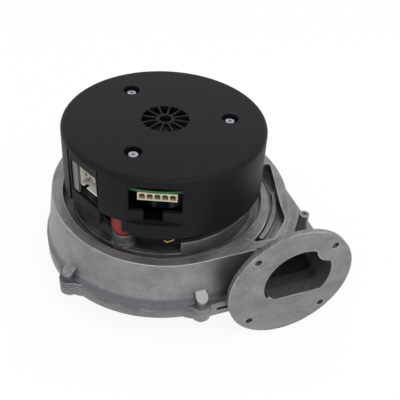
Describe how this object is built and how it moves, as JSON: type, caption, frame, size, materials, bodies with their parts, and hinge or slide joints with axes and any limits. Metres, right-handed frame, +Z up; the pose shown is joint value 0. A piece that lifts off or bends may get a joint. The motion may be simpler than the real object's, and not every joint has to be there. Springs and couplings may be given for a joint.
{
  "type": "centrifugal fan",
  "caption": "Centrifugal fan: die-cast scroll housing with a round outlet flange and inlet collar, closed impeller, and an external-rotor motor under a round electronics cover.",
  "frame": {"origin": "on the rotor axis, at the face of the inlet collar", "axes": "+Z up along the rotor axis from the inlet to the motor; the outlet blows towards -Y"},
  "size_m": [0.1709, 0.1698, 0.1137],
  "materials": {
    "cast_aluminium": "as-cast, satin",
    "sheet_aluminium": "rolled sheet",
    "black_plastic": "moulded, fine grain",
    "carrier_plastic": "moulded, matte",
    "steel": "ground",
    "zinc_steel": "zinc plated",
    "spring_steel": "tempered",
    "lamination_steel": "stacked sheet",
    "cup_steel": "coated sheet",
    "magnet": "bonded ferrite",
    "brass": "bright",
    "copper": "enamelled wire",
    "red_rubber": "moulded",
    "dark_rubber": "moulded",
    "board": "solder mask",
    "cream_plastic": "moulded",
    "white_plastic": "moulded",
    "insulator_plastic": "moulded",
    "sleeve": "shrink sleeve",
    "module_plastic": "moulded",
    "sink_metal": "plain sheet"
  },
  "bodies": {
    "housing": {"lower_housing": "cast_aluminium", "upper_housing": "cast_aluminium", "housing_gasket": "dark_rubber", "housing_screws": "zinc_steel", "shaft_seal": "dark_rubber", "lower_bearing_outer": "steel", "upper_bearing_outer": "steel", "preload_spring": "spring_steel", "bearing_tube": "sheet_aluminium", "stator_core": "lamination_steel", "stator_insulators": "insulator_plastic", "stator_coils": "copper", "motor_carrier": "carrier_plastic", "carrier_screws": "zinc_steel", "vibration_dampers": "red_rubber", "damper_bolts": "zinc_steel", "control_board": "board", "signal_connector": "cream_plastic", "signal_pins": "brass", "mains_connector": "white_plastic", "mains_pins": "zinc_steel", "bulk_capacitor": "sleeve", "choke": "copper", "power_module": "module_plastic", "heat_sink": "sink_metal", "earth_contact": "brass", "motor_cover": "black_plastic", "cover_screws": "zinc_steel"},
    "rotor": {"shaft": "steel", "rotor_cup": "cup_steel", "rotor_magnet": "magnet", "rotor_bushing": "brass", "impeller_hub": "steel", "impeller_backplate": "sheet_aluminium", "impeller_blades": "sheet_aluminium", "impeller_shroud": "sheet_aluminium", "impeller_rivets": "sheet_aluminium", "impeller_nut": "zinc_steel", "lower_bearing_inner": "steel", "upper_bearing_inner": "steel", "retaining_ring": "spring_steel"},
    "lower_cage": {"lower_bearing_balls": "steel", "lower_bearing_cage": "brass"},
    "upper_cage": {"upper_bearing_balls": "steel", "upper_bearing_cage": "brass"}
  },
  "joints": [
    {"name": "rotor_spin", "type": "hinge", "parent": "housing", "child": "rotor", "pos_m": [0, 0, 0.065], "axis": [0, 0, 1], "continuous": true},
    {"name": "lower_cage_spin", "type": "hinge", "parent": "housing", "child": "lower_cage", "pos_m": [0, 0, 0.065], "axis": [0, 0, 1], "continuous": true},
    {"name": "upper_cage_spin", "type": "hinge", "parent": "housing", "child": "upper_cage", "pos_m": [0, 0, 0.065], "axis": [0, 0, 1], "continuous": true}
  ],
  "couplings": [
    {"joint": "lower_cage_spin", "follows": "rotor_spin", "ratio": 0.36933},
    {"joint": "upper_cage_spin", "follows": "rotor_spin", "ratio": 0.36933}
  ]
}
